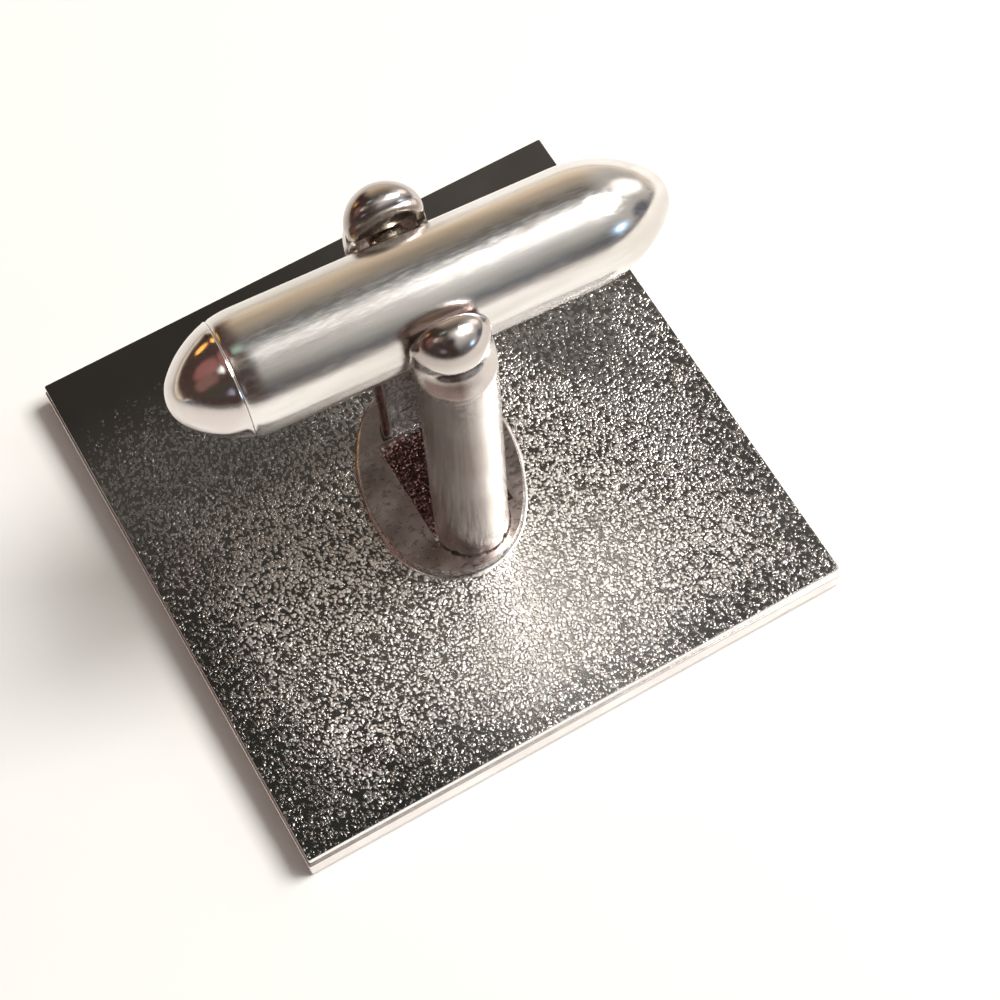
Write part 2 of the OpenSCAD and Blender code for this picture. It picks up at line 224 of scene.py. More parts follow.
def cast_back_metal():
    made, tree, skin = new_material("back_metal")
    place = add(tree, "ShaderNodeTexCoord").outputs["Object"]
    x, y, z = parts_of(tree, place)
    far = maths(tree, "MAXIMUM", maths(tree, "ABSOLUTE", x), maths(tree, "ABSOLUTE", y))
    inward = maths(tree, "SUBTRACT", half_side, far)
    wall = remap(tree, z, plate_high.z - 0.01 * mm, plate_high.z - 0.04 * mm)

    # The bead crests are paler over the lower half, most of all below the foot, and a painted
    # pool of light brightens the ground there. The top strip is bare of beads, and the upper
    # and right-hand parts are calmer.
    paler_crests = remap(tree, distance(tree, place, paler_crests_middle), 15.0 * mm, 3.0 * mm)
    painted_light_pool = remap(tree, distance(tree, place, painted_light_middle), 7.8 * mm, 0.0)
    bare = remap(tree, y, 5.5 * mm, 9.5 * mm)
    upper = remap(tree, y, -3.0 * mm, 5.0 * mm)
    side = remap(tree, x, -5.0 * mm, 8.0 * mm)
    calm = maths(tree, "MULTIPLY", remap(tree, x, 3.0 * mm, 8.5 * mm, 0.0, 0.72),
                 remap(tree, y, -12.0 * mm, -3.0 * mm))
    dull = maths(tree, "MULTIPLY_ADD", upper, maths(tree, "MULTIPLY_ADD", side, -0.25, 1.0), calm)
    dull = maths(tree, "MINIMUM", dull, 1.0)

    margin = remap(tree, inward, 0.2 * mm, 2.0 * mm)
    cover = maths(tree, "MULTIPLY", rest_of(tree, bare), maths(tree, "MULTIPLY_ADD", margin, 0.30, 0.66))
    cast = use_group(tree, grain, {"Vector": place, "Size": bead_size, "Cover": cover})
    bead = cast.outputs["Bead"]
    uneven = maths(tree, "SUBTRACT", cast.outputs["Patch"], 0.5)

    # Towards the border the beads get lower and darker, unevenly.
    ragged = maths(tree, "MULTIPLY_ADD", uneven, 6.0 * mm, inward)
    border = remap(tree, ragged, 0.2 * mm, 3.4 * mm)
    bold = maths(tree, "MULTIPLY", rest_of(tree, dull), border)

    # The ground tone is lifted most by the painted pool of light.
    clear = 0.13
    for mask, gain in ((upper, 0.16), (side, 0.17), (painted_light_pool, 0.44), (bare, -0.13)):
        clear = maths(tree, "MULTIPLY_ADD", mask, gain, clear)
    ground = scaled(tree, ground_tint, clear)
    crest = blend_colour(tree, bold, scaled(tree, ground, 1.6), ramp(tree, paler_crests, bead_tones))
    tone = blend_colour(tree, bead, ground, crest)
    tone = blend_colour(tree, wall, tone, polished_edge)

    # Inside the foot's window the casting kept a reddish copper flash. Its very dark ground
    # is also painted shade, for the shade under the legs and the bar.
    glint = maths(tree, "MULTIPLY", remap(tree, bead, 0.8, 1.0),
                  remap(tree, cast.outputs["Patch"], 0.50, 0.62))
    copper = blend_colour(tree, glint, copper_in_painted_shade, copper_glint)
    tone = blend_colour(tree, window_mask(tree, place), tone, copper)
    tree.links.new(tone, skin.inputs["Base Color"])
    skin.inputs["Metallic"].default_value = 1.0

    rough = maths(tree, "MULTIPLY_ADD", painted_light_pool, 0.10, 0.17)
    rough = maths(tree, "MULTIPLY_ADD", maths(tree, "MULTIPLY", bead, bold), 0.20, rough)
    rough = maths(tree, "MULTIPLY_ADD", uneven, 0.12, rough)
    tree.links.new(rough, skin.inputs["Roughness"])

    rim = maths(tree, "MULTIPLY", rest_of(tree, border), rest_of(tree, upper))
    strength = maths(tree, "MULTIPLY_ADD", rim, 0.50, 0.15)
    strength = maths(tree, "MULTIPLY_ADD", bold, 0.85, strength)
    strength = maths(tree, "MULTIPLY", strength, rest_of(tree, wall))
    bump(tree, skin, maths(tree, "MULTIPLY", cast.outputs["Height"], strength), 1.0, bead_height)
    return made


def finish_mesh(name, mesh, materials, body, sharp=40.0, flat=False):
    """A finished object at the origin that rides on a body."""
    mesh.name = name
    for slot, material in enumerate(materials):
        if slot < len(mesh.materials):
            mesh.materials[slot] = material
        else:
            mesh.materials.append(material)
    mesh.shade_smooth()
    mesh.set_sharp_from_angle(angle=math.radians(sharp))
    for face in mesh.polygons:
        if flat and abs(face.normal.z) > 0.9999:
            face.use_smooth = False
    piece = bpy.data.objects.new(name, mesh)
    bpy.context.scene.collection.objects.link(piece)
    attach(piece, body)
    return piece


def upright(mesh):
    """Turns a closed mesh so that its faces point outwards."""
    shape = bmesh.new()
    shape.from_mesh(mesh)
    if shape.calc_volume(signed=True) < 0:
        bmesh.ops.reverse_faces(shape, faces=shape.faces)
    shape.to_mesh(mesh)
    shape.free()


def stacked(loops):
    """A closed mesh from loops of points, one above the other, its ends filled."""
    count = len(loops[0])
    faces = [tuple(reversed(range(count)))]
    for k in range(len(loops) - 1):
        for i in range(count):
            j = (i + 1) % count
            faces.append((k * count + i, k * count + j, (k + 1) * count + j, (k + 1) * count + i))
    faces.append(tuple((len(loops) - 1) * count + i for i in range(count)))
    mesh = bpy.data.meshes.new("stack")
    mesh.from_pydata([tuple(p) for loop in loops for p in loop], [], faces)
    upright(mesh)
    return mesh


def square_loop(half, radius, z, steps=6):
    """A square with rounded corners, in metres."""
    points = []
    for turn, (sx, sy) in enumerate(((1, 1), (-1, 1), (-1, -1), (1, -1))):
        for i in range(steps + 1):
            t = math.pi / 2 * (turn + i / steps)
            points.append((sx * (half - radius) + radius * math.cos(t),
                           sy * (half - radius) + radius * math.sin(t), z))
    return points


def sheet(half, corner, low, high, below, above):
    """A square sheet. Below and above are rows of (inset, distance from that face) in mm."""
    rows = [(inset * mm, low + away * mm) for inset, away in below]
    rows += [(inset * mm, high - away * mm) for inset, away in above]
    return stacked([square_loop(half - inset, max(corner - inset, 0.01 * mm), z)
                    for inset, z in rows])


back_metal = cast_back_metal()
back_sheet = sheet(half_side, corner_radius, plate_low.z, plate_high.z,
                   [(0.03, 0.0), (0.008, 0.012), (0.0, 0.035)],
                   [(0.0, 0.035), (0.005, 0.018), (0.014, 0.006), (0.035, 0.0)])
back = finish_mesh("plate_back", back_sheet, [back_metal], "plate_and_fork", 50, flat=True)
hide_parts("back_plate")

# Face plate, the thicker front sheet, polished and plated silver. Only its narrow
# rounded edge shows, a hair outside the back plate, with the seam between them.

face_low, face_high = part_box("face_plate")


def tumbled_polish():
    """Soft waves and hairline marks of metal that was tumbled after plating.

    Along is how far the pattern is squeezed along X: under 1 it is drawn out.
    """
    tree, given, result = new_group(
        "tumbled_polish",
        [("Vector", "NodeSocketVector", None), ("Wave", "NodeSocketFloat", 2.0 * mm),
         ("Along", "NodeSocketFloat", 0.2)],
        ["Height", "Mask", "Hairline"])
    stretch = add(tree, "ShaderNodeCombineXYZ", {0: given.outputs["Along"], 1: 1.0, 2: 1.0})
    stretched = add(tree, "ShaderNodeVectorMath",
                    {0: given.outputs["Vector"], 1: stretch.outputs[0]},
                    operation="MULTIPLY").outputs[0]
    per_wave = maths(tree, "DIVIDE", 1.0, given.outputs["Wave"])
    swell = add(tree, "ShaderNodeTexNoise",
                {"Vector": stretched, "Scale": per_wave, "Detail": 2.0, "Roughness": 0.5})
    hair = add(tree, "ShaderNodeTexNoise",
               {"Vector": stretched, "Scale": maths(tree, "MULTIPLY", per_wave, 12.0),
                "Detail": 3.0, "Roughness": 0.6})
    tree.links.new(swell.outputs["Fac"], result.inputs["Height"])
    tree.links.new(remap(tree, swell.outputs["Fac"], 0.35, 0.65), result.inputs["Mask"])
    tree.links.new(hair.outputs["Fac"], result.inputs["Hairline"])
    return tree


tumbled = tumbled_polish()
Plating = namedtuple("Plating", "metal tree skin tone rough place")


def plated(name, light, dark, wave, along, rough_range, depth, mapping=None):
    """Silver-toned plating, tumbled, with a slow change of tone and fine marks."""
    made, tree, skin = new_material(name)
    place = add(tree, "ShaderNodeTexCoord").outputs["Object"]
    if mapping is not None:
        place = add(tree, "ShaderNodeMapping", {"Vector": place, **mapping}).outputs[0]
    polish = use_group(tree, tumbled, {"Vector": place, "Wave": wave, "Along": along})
    hairline = polish.outputs["Hairline"]
    tone = blend_colour(tree, polish.outputs["Mask"], dark, light)
    marks = maths(tree, "MULTIPLY", remap(tree, hairline, 0.62, 0.72), 0.18)
    tone = blend_colour(tree, marks, tone, dark)
    tree.links.new(tone, skin.inputs["Base Color"])
    skin.inputs["Metallic"].default_value = 1.0
    rough = remap(tree, hairline, 0.35, 0.7, *rough_range)
    tree.links.new(rough, skin.inputs["Roughness"])
    bump(tree, skin, maths(tree, "MULTIPLY_ADD", hairline, 0.04, polish.outputs["Height"]), 1.0, depth)
    return Plating(made, tree, skin, tone, rough, place)


face_metal = plated("face_metal", (0.90, 0.86, 0.84), (0.82, 0.77, 0.75), 1.5 * mm, 1.0,
                    (0.14, 0.26), 0.02 * mm).metal
face_sheet = sheet(face_high.x, corner_radius + 0.03 * mm, face_low.z, face_high.z,
                   [(0.14, 0.0), (0.07, 0.02), (0.02, 0.07), (0.0, 0.14)],
                   [(0.0, 0.05), (0.008, 0.024), (0.024, 0.008), (0.05, 0.0)])
face = finish_mesh("plate_face", face_sheet, [face_metal], "plate_and_fork", 50, flat=True)
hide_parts("face_plate")

# Foot, a flat oval of thick sheet with a window, its edges rounded by tumbling.
# The legs stand in it and are soldered to it, and it is soldered to the plate.

foot_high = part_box("foot_pad")[1]
foot_round = 0.13 * mm
pale_rim = (0.90, 0.84, 0.80)


def baked(piece):
    """The evaluated mesh of a piece with its modifiers, which are then gone."""
    bpy.context.view_layer.update()
    graph = bpy.context.evaluated_depsgraph_get()
    mesh = bpy.data.meshes.new_from_object(piece.evaluated_get(graph))
    bpy.data.objects.remove(piece)
    return mesh


foot_metal = plated("foot_metal", (0.50, 0.43, 0.41), (0.30, 0.24, 0.225), 1.6 * mm, 0.6,
                    (0.26, 0.42), 0.03 * mm)
height_on_foot = parts_of(foot_metal.tree, foot_metal.place)[2]
# The foot is paler round its rounded top edge.
rim = remap(foot_metal.tree, height_on_foot, foot_high.z - 0.01 * mm, foot_high.z - 0.06 * mm)
foot_metal.tree.links.new(blend_colour(foot_metal.tree, rim, foot_metal.tone, pale_rim),
                          foot_metal.skin.inputs["Base Color"])

# The solid model's foot, its loose triangles merged back into faces.
foot_source = frame["nodes"]["foot_pad"].data.copy()
shape = bmesh.new()
shape.from_mesh(foot_source)
bmesh.ops.remove_doubles(shape, verts=shape.verts, dist=0.001 * mm)
bmesh.ops.dissolve_limit(shape, angle_limit=math.radians(1.0), verts=shape.verts, edges=shape.edges)
shape.to_mesh(foot_source)
shape.free()
foot_blank = bpy.data.objects.new("foot_blank", foot_source)
bpy.context.scene.collection.objects.link(foot_blank)
soften = foot_blank.modifiers.new("rounded edges", "BEVEL")
soften.width = foot_round
soften.segments = 4
soften.limit_method = "ANGLE"
soften.angle_limit = math.radians(50)
foot = finish_mesh("foot", baked(foot_blank), [foot_metal.metal], "plate_and_fork", flat=True)
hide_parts("foot_pad")

# Solder, a thin run that crept out a little way from under the foot and set with
# a bright hollow edge. It is a filler and has no node in the solid model.

foot_half_wide, foot_half_long, foot_end_r = 2.95, 4.2, 2.596
solder_height = 0.2
# Rows of the run's cross-section: share of its width, share of its height.
solder_rows = ((-0.5, 0.0), (1.0, 0.0), (1.0, 0.06), (0.62, 0.14), (0.3, 0.375), (0.12, 0.7),
               (0.0, 1.0), (-0.5, 1.0))


def nose(widest, length, tip_r, steps=26):
    """Quarter of a four-arc oval: points (along, radius) from its widest to its tip."""
    tip = length - tip_r
    side_r = (widest * widest + tip ** 2 - tip_r * tip_r) / (2 * (widest - tip_r))
    join = tip * (1 + tip_r / (side_r - tip_r))
    end = math.asin(join / side_r)
    flank = [(side_r * math.sin(t), widest - side_r + side_r * math.cos(t))
             for t in np.linspace(0, end, steps)]
    point = [(tip + tip_r * math.sin(t), tip_r * math.cos(t))
             for t in np.linspace(end, math.pi / 2, steps)]
    return flank + point[1:-1] + [(length, 0.0)]


def solder_mesh():
    quarter = nose(foot_half_wide, foot_half_long, foot_end_r, 20)
    outline = [(r, s) for s, r in quarter] + [(-r, s) for s, r in quarter[-2::-1]]
    outline += [(-x, -y) for x, y in outline[1:-1]]
    outline = np.array(outline)
    ahead = np.roll(outline, -1, 0) - np.roll(outline, 1, 0)
    outwards = np.stack([ahead[:, 1], -ahead[:, 0]], 1) / np.linalg.norm(ahead, axis=1)[:, None]
    around = np.linspace(0, 2 * math.pi, len(outline), endpoint=False)
    creep = (0.16 + 0.03 * np.sin(3 * around + 1) + 0.02 * np.sin(7 * around)
             + 0.015 * np.sin(13 * around + 2))
    points = []
    for share, rise in solder_rows:
        ring = outline + outwards * (creep * share)[:, None]
        points += [(x * mm, y * mm, rise * solder_height * mm) for x, y in ring]
    count, rows = len(outline), len(solder_rows)
    faces = []
    for k in range(rows):
        for i in range(count):
            this, above, j = k * count, (k + 1) % rows * count, (i + 1) % count
            faces.append((this + i, this + j, above + j, above + i))
    mesh = bpy.data.meshes.new("solder")
    mesh.from_pydata(points, [], faces)
    upright(mesh)
    mesh.transform(fork_place @ Matrix.Translation((-0.1 * mm, 0, 0))
                   @ Matrix.Rotation(math.radians(-10), 4, "Z"))
    return mesh


solder_metal = plated("solder_metal", (0.78, 0.74, 0.71), (0.58, 0.52, 0.49), 0.7 * mm, 1.0,
                      (0.16, 0.34), 0.04 * mm).metal
solder = finish_mesh("solder", solder_mesh(), [solder_metal], "plate_and_fork")

# Legs of the fork, each pressed from 0.3 mm sheet: a half-round stem that runs into
# a round head, whose dome hides the pin's end. A crease under the dome holds the
# pin, and the root is pinched where it enters the foot.

leg_face = 2.34 * mm
leg_wall = 0.29 * mm
cut_edge = 0.03 * mm
# Colour of the painted shade and painted dark reflections on the legs.
painted_shade_colour = (0.12, 0.05, 0.04)
# Painted light on the inside, a pale ground with glints, and painted shade inside the head.
inside_painted_light, inside_glint = (0.55, 0.48, 0.45), (0.95, 0.92, 0.90)
inside_head_painted_shade = (0.30, 0.21, 0.185)


def how_far(value, low, high):
    """How far a value has come from low to high, from 0 to 1."""
    return np.clip((value - low) / (high - low), 0, 1)


def eased(value, low, high):
    part = how_far(value, low, high)
    return part * part * (3 - 2 * part)


def bell(value, middle, width):
    return np.exp(-(((value - middle) / width) ** 2))


def soft_max(a, b, rounding):
    overlap = np.clip(rounding - np.abs(a - b), 0, None)
    return np.maximum(a, b) + overlap * overlap / (4 * rounding)


class Leg:
    """One leg's outside as a smooth field in millimetres: y outwards, z up."""

    stem_r, root_r, flare_h = 1.42, 1.45, 2.4
    root_neck, root_neck_h = 0.07, 0.28
    pinch, pinch_z, pinch_h, pinch_count, pinch_turn = 0.03, 0.55, 0.42, 9.0, 0.7
    neck_out, shoulder_z = 0.38, 13.28
    taper_low, taper_high = 12.80, 13.80
    head_r, dome_z, dome_h, dome_power = 1.43, 14.14, 1.20, 2.3
    # The crease and the lip above it fade out to both sides of their middle, in radians.
    crease, crease_z, crease_h = 0.17, 13.78, 0.13
    crease_middle, crease_full, crease_gone = 0.12, 0.30, 0.85
    lip, lip_up, lip_h = 0.05, 0.32, 0.18
    # The stem is open towards the bar. Above the closing height the head wraps round.
    closing_z, open_fade_h = 12.98, 0.16
    overhang, stem_room, stem_fade_h = 0.12, 2.0, 0.5
    # Rounding of the wall's turn: sharp on the stem, softer on the head and the dome.
    edge_soft = 0.04
    head_soft, head_soft_h = 0.36, 0.9
    dome_soft, dome_soft_h = 0.42, 0.9
    # The brow is the edge of the open head, lifted in an arch on one side.
    brow_z, brow_fade_h = 14.04, 1.2
    arch_x, arch_width = -0.7, 0.33
    inner = 0.5

    def __init__(self, root_out, arch_lift):
        self.root_out = root_out
        self.arch_lift = arch_lift

    def axis(self, z):
        return self.root_out + (self.neck_out - self.root_out) * z / self.shoulder_z

    def open_side(self, z):
        return self.axis(z) * (1 - how_far(z, self.closing_z, self.closing_z + self.open_fade_h))

    def field(self, x, y, z):
        around = np.arctan2(x, y)
        radius = self.stem_r + (self.root_r - self.stem_r) * how_far(z, self.flare_h, 0.0) ** 2
        radius = radius - self.root_neck * bell(z, 0.0, self.root_neck_h)
        folds = np.clip(np.sin(around * self.pinch_count + self.pinch_turn) ** 3, 0, 1)
        radius = radius - self.pinch * bell(z, self.pinch_z, self.pinch_h) * folds
        taper = eased(z, self.taper_low, self.taper_high)
        middle = self.axis(np.minimum(z, self.shoulder_z)) * (1 - taper)
        away = np.abs(around - self.crease_middle)
        front = 1 - eased(away, self.crease_full, self.crease_gone)
        hollow = self.crease * bell(z, self.crease_z, self.crease_h) * front
        lip = self.lip * bell(z, self.crease_z + self.lip_up, self.lip_h) * front
        over = np.clip(z - self.dome_z, 0, None) * self.head_r / self.dome_h
        power = self.dome_power
        body = (np.hypot(x, y - middle) ** power + over ** power) ** (1 / power)
        body = body - radius + hollow - lip
        closing = eased(z, self.closing_z, self.closing_z + self.head_soft_h)
        rise = eased(z, self.brow_z, self.brow_z + self.dome_soft_h)
        rounding = self.edge_soft + self.head_soft * closing + self.dome_soft * rise
        stem = how_far(z, self.closing_z, self.closing_z - self.stem_fade_h)
        wall = -y - self.overhang - self.stem_room * stem
        return soft_max(body, wall, rounding)

    def hit(self, start, way):
        """Where rays from inside leave the leg."""
        near = np.zeros(len(way))
        far = np.full(len(way), 4.0)
        for _ in range(40):
            middle = (near + far) / 2
            inside = self.field(*(start + way * middle[:, None]).T) < 0
            near = np.where(inside, middle, near)
            far = np.where(inside, far, middle)
        return start + way * near[:, None]

    def row(self, z, angles):
        """A level row of points seen from the axis at a height."""
        start = np.array([[0.0, self.open_side(z) + self.inner, z]])
        way = np.stack([np.sin(angles), np.cos(angles), np.zeros(len(angles))], 1)
        return self.hit(np.repeat(start, len(angles), 0), way)

    def raised(self, angles, height):
        """A row at a height, which past the dome's centre is an angle of elevation."""
        rise = np.clip((height - self.dome_z) / self.head_r, 0, math.pi / 2 - 1e-4)
        level = np.minimum(height, self.dome_z)
        start = np.stack([np.zeros(len(height)), np.full(len(height), self.inner), level], 1)
        way = np.stack([np.sin(angles) * np.cos(rise), np.cos(angles) * np.cos(rise),
                        np.sin(rise)], 1)
        return self.hit(start, way)

    def edge_x(self, z):
        """Half-width of the open side at a height."""
        near, far = 0.5, 2.5
        y = float(self.open_side(z)) + 1e-6
        for _ in range(40):
            middle = (near + far) / 2
            if self.field(np.array([middle]), np.array([y]), np.array([z]))[0] < 0:
                near = middle
            else:
                far = middle
        return near

    def mesh(self, columns=112, front=64):
        """Points and faces of the outside: the stem's rows, then closed loops over the head."""
        levels = np.concatenate([np.arange(0, 1.6, 0.05), np.arange(1.6, 11.6, 0.4),
                                 np.arange(11.6, self.brow_z - 0.01, 0.04), [self.brow_z]])
        points, faces, back_rows, front_rows = [], [], [], []

        def keep(row):
            first = sum(len(kept) for kept in points)
            points.append(row)
            return np.arange(first, first + len(row))

        for z in levels:
            x = self.edge_x(z)
            y = float(self.open_side(z))
            reach = math.pi / 2 + math.atan(self.inner / x)
            row = self.row(z, np.linspace(-reach, reach, columns))
            row[0] = (-x, y, z)
            row[-1] = (x, y, z)
            back_rows.append(keep(row))

        # Over the head every row keeps the reach of the last one.
        back_angles = np.linspace(-reach, reach, columns)
        front_angles = np.linspace(reach, 2 * math.pi - reach, front)[1:-1]
        across = self.inner * np.tan(front_angles - math.pi)
        arch = self.arch_lift * bell(across, self.arch_x, self.arch_width)
        heights = [self.brow_z, (self.brow_z + self.dome_z) / 2, self.dome_z]
        heights += list(self.dome_z + self.head_r * np.radians(np.arange(2.5, 88, 2.5)))
        for i, height in enumerate(heights):
            if i:
                back_rows.append(keep(self.raised(back_angles, np.full(columns, height))))
            fade = max(0.0, 1 - (height - self.brow_z) / self.brow_fade_h)
            front_rows.append(keep(self.raised(front_angles, height + arch * fade)))

        for a, b in zip(back_rows[:-1], back_rows[1:]):
            for i in range(columns - 1):
                faces.append((a[i], a[i + 1], b[i + 1], b[i]))
        loops = [np.concatenate([b, f]) for b, f in zip(back_rows[-len(front_rows):], front_rows)]
        for a, b in zip(loops[:-1], loops[1:]):
            for i in range(columns - 1, len(a)):
                j = (i + 1) % len(a)
                faces.append((a[i], a[j], b[j], b[i]))
        pole = keep(self.hit(np.array([[0, self.inner, self.dome_z]]), np.array([[0, 0, 1.0]])))[0]
        last = loops[-1]
        for i in range(len(last)):
            faces.append((last[i], last[(i + 1) % len(last)], pole))
        return np.concatenate(points), [tuple(int(i) for i in f) for f in faces]


def leg_wear(leg, points, painted_dark_reflection):
    """Painted shade and dark reflections, with a slight darkening of the stretched shoulder, and the
    matt finish at each point, from 0 to 1.
    """
    x, y, z = points.T
    around = np.arctan2(x, y)
    away = np.abs(around - leg.crease_middle)
    # Painted shade in the crease under the dome and at the root in the foot, and a painted dark
    # reflection over the dome.
    crease = 0.95 * bell(z, leg.crease_z, 0.15) * how_far(away, 0.85, 0.45)
    root = 0.7 * bell(z, 0.0, 0.10)
    dome = 0.38 * how_far(z, 14.0, 14.5)
    # The press stretched the metal at the shoulder and left it matt.
    stretched = how_far(z, 12.3, 12.9) * how_far(z, 14.0, 13.6)
    # Painted dark reflection down one flank and on the side that faces the bar.
    flank = how_far(around, -0.15, 0.20) * how_far(around, 1.25, 0.95)
    flank = flank * how_far(z, 0.3, 1.5) * how_far(z, 13.8, 13.4)
    flank = flank * (0.50 + 0.40 * how_far(z, 12.6, 13.0))
    behind = how_far(y, 0.10, -0.15) * how_far(z, 13.3, 13.6)
    painted_shade = np.max([crease, root, dome, 0.20 * stretched, painted_dark_reflection * flank, painted_dark_reflection * behind], axis=0)
    return painted_shade, stretched


def leg_outside():
    """Tumbled plating, darkened by painted shade and painted dark reflections, and matt where the press
    stretched it.
    """
    plating = plated("leg_metal", (0.86, 0.82, 0.78), (0.72, 0.66, 0.62), 3.0 * mm, 1.0,
                     (0.15, 0.25), 0.02 * mm, {"Rotation": (0, math.radians(90), -fork_turn)})
    tree, skin = plating.tree, plating.skin
    # The painted shade and dark reflections, stored on the mesh, darken the plating.
    painted_shade = add(tree, "ShaderNodeAttribute", attribute_name="painted_shade").outputs["Fac"]
    tree.links.new(blend_colour(tree, painted_shade, plating.tone, painted_shade_colour), skin.inputs["Base Color"])
    matt = add(tree, "ShaderNodeAttribute", attribute_name="matt").outputs["Fac"]
    tree.links.new(maths(tree, "MULTIPLY_ADD", matt, 0.10, plating.rough), skin.inputs["Roughness"])
    return plating.metal


def leg_inside():
    """The inside was never tumbled: rough sheet, painted pale with small glints for the light it
    catches, and painted darker in the head for the shade inside it.
    """
    made, tree, skin = new_material("leg_inside")
    place = add(tree, "ShaderNodeTexCoord").outputs["Object"]
    cast = use_group(tree, grain, {"Vector": place, "Size": 0.16 * mm, "Cover": 0.9})
    # Painted shade inside the hollow head.
    head = remap(tree, parts_of(tree, place)[2], 12.0 * mm, 13.2 * mm)
    tone = blend_colour(tree, cast.outputs["Bead"], inside_painted_light, inside_glint)
    tree.links.new(blend_colour(tree, head, tone, inside_head_painted_shade), skin.inputs["Base Color"])
    skin.inputs["Metallic"].default_value = 1.0
    skin.inputs["Roughness"].default_value = 0.34
    bump(tree, skin, cast.outputs["Height"], 0.7, 0.03 * mm)
    return made


leg_metal, inner_metal = leg_outside(), leg_inside()


def build_leg(name, node_name, root_out, arch_lift, turn, painted_dark_reflection):
    leg = Leg(root_out, arch_lift)
    points, faces = leg.mesh()
    mesh = bpy.data.meshes.new(name)
    mesh.from_pydata((points * mm).tolist(), [], faces)
    mesh.materials.append(leg_metal)
    mesh.materials.append(inner_metal)
    for label, values in zip(("painted_shade", "matt"), leg_wear(leg, points, painted_dark_reflection)):
        layer = mesh.attributes.new(label, "FLOAT", "POINT")
        layer.data.foreach_set("value", values.astype(np.float32))
    shape = bmesh.new()
    shape.from_mesh(mesh)
    bmesh.ops.recalc_face_normals(shape, faces=shape.faces)
    outermost = max(shape.faces, key=lambda f: f.calc_center_median().y)
    if outermost.normal.y < 0:
        bmesh.ops.reverse_faces(shape, faces=shape.faces)
    shape.to_mesh(mesh)
    shape.free()
    blank = bpy.data.objects.new(name + "_blank", mesh)
    bpy.context.scene.collection.objects.link(blank)
    wall = blank.modifiers.new("sheet", "SOLIDIFY")
    wall.thickness = leg_wall
    wall.offset = -1
    wall.material_offset = 1
    edge = blank.modifiers.new("edges", "BEVEL")
    edge.width = cut_edge
    edge.segments = 2
    edge.limit_method = "ANGLE"
    edge.angle_limit = math.radians(60)
    mesh = baked(blank)
    mesh.transform(fork_place @ Matrix.Rotation(turn, 4, "Z") @ Matrix.Translation((0, leg_face, 0)))
    piece = finish_mesh(name, mesh, [leg_metal, inner_metal], "plate_and_fork", 50)
    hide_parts(node_name)


build_leg("leg_front", "front_leg", 0.06, 0.0, math.pi, 0.90)
build_leg("leg_rear", "rear_leg", -0.24, 0.22, 0.0, 0.15)

# Bar, a drawn tube with a pointed closed nose, satin along its length and polished
# on the nose. It turns on the pin, and its open end takes the cap.

bar_r, bore_r, half_bar = 2.14, 1.70, 9.04
nose_h, nose_tip_r = 3.4, 1.2
cap_h, cap_tip_r = 3.1, 1.3
seam = -6.84
# The rounded lip at the seam: rows of distance from the seam and depth under the surface.
tube_lip, lip_end = ((0.0, 0.07), (0.02, 0.025), (0.06, 0.0)), 0.08
bush_hole_r = 0.86 * mm
wall = bar_r - bore_r
nose_start = half_bar - nose_h
cap_start = cap_h - half_bar
merge_gap, least_area = 0.0004 * mm, 1e-16
bar_place = (Matrix.Translation(pivot) @ Matrix.Rotation(fork_turn, 4, "Z")
             @ Matrix.Translation((0.06 * mm, 0, 0)) @ Matrix.Rotation(math.pi / 2, 4, "X"))


def turning_tree():
    """Turns a profile about the X axis: each point's x is its place, y its radius."""
    tree = bpy.data.node_groups.new("turned_piece", "GeometryNodeTree")
    for label, kind, way in (("Profile", "NodeSocketGeometry", "INPUT"),
                             ("Points", "NodeSocketInt", "INPUT"),
                             ("Segments", "NodeSocketInt", "INPUT"),
                             ("Finish", "NodeSocketMaterial", "INPUT"),
                             ("Piece", "NodeSocketGeometry", "OUTPUT")):
        tree.interface.new_socket(label, in_out=way, socket_type=kind)
    entry = tree.nodes.new("NodeGroupInput")
    leave = tree.nodes.new("NodeGroupOutput")
    rows, steps = entry.outputs["Points"], entry.outputs["Segments"]
    grid = add(tree, "GeometryNodeMeshGrid",
               {"Size X": 1.0, "Size Y": 1.0, "Vertices X": maths(tree, "ADD", steps, 1.0),
                "Vertices Y": rows})
    here = parts_of(tree, add(tree, "GeometryNodeInputPosition").outputs[0])
    row = maths(tree, "ROUND", maths(tree, "MULTIPLY", maths(tree, "ADD", here[1], 0.5),
                                     maths(tree, "SUBTRACT", rows, 1.0)))
    angle = maths(tree, "MULTIPLY", here[0], 2 * math.pi)
    picked = add(tree, "GeometryNodeSampleIndex", {"Geometry": entry.outputs["Profile"], "Index": row},
                 data_type="FLOAT_VECTOR", domain="POINT")
    tree.links.new(add(tree, "GeometryNodeInputPosition").outputs[0], picked.inputs["Value"])
    along, radius, _ = parts_of(tree, picked.outputs["Value"])
    spot = add(tree, "ShaderNodeCombineXYZ",
               {0: along, 1: maths(tree, "MULTIPLY", radius, maths(tree, "COSINE", angle)),
                2: maths(tree, "MULTIPLY", radius, maths(tree, "SINE", angle))})
    laid = add(tree, "GeometryNodeSetPosition",
               {"Geometry": grid.outputs["Mesh"], "Position": spot.outputs[0]})
    closed = add(tree, "GeometryNodeMergeByDistance",
                 {"Geometry": laid.outputs[0], "Distance": 0.0002 * mm})
    real = add(tree, "GeometryNodeRealizeInstances", {"Geometry": closed.outputs[0]})
    dressed = add(tree, "GeometryNodeSetMaterial",
                  {"Geometry": real.outputs[0], "Material": entry.outputs["Finish"]})
    tree.links.new(dressed.outputs[0], leave.inputs["Piece"])
    return tree


turned = turning_tree()


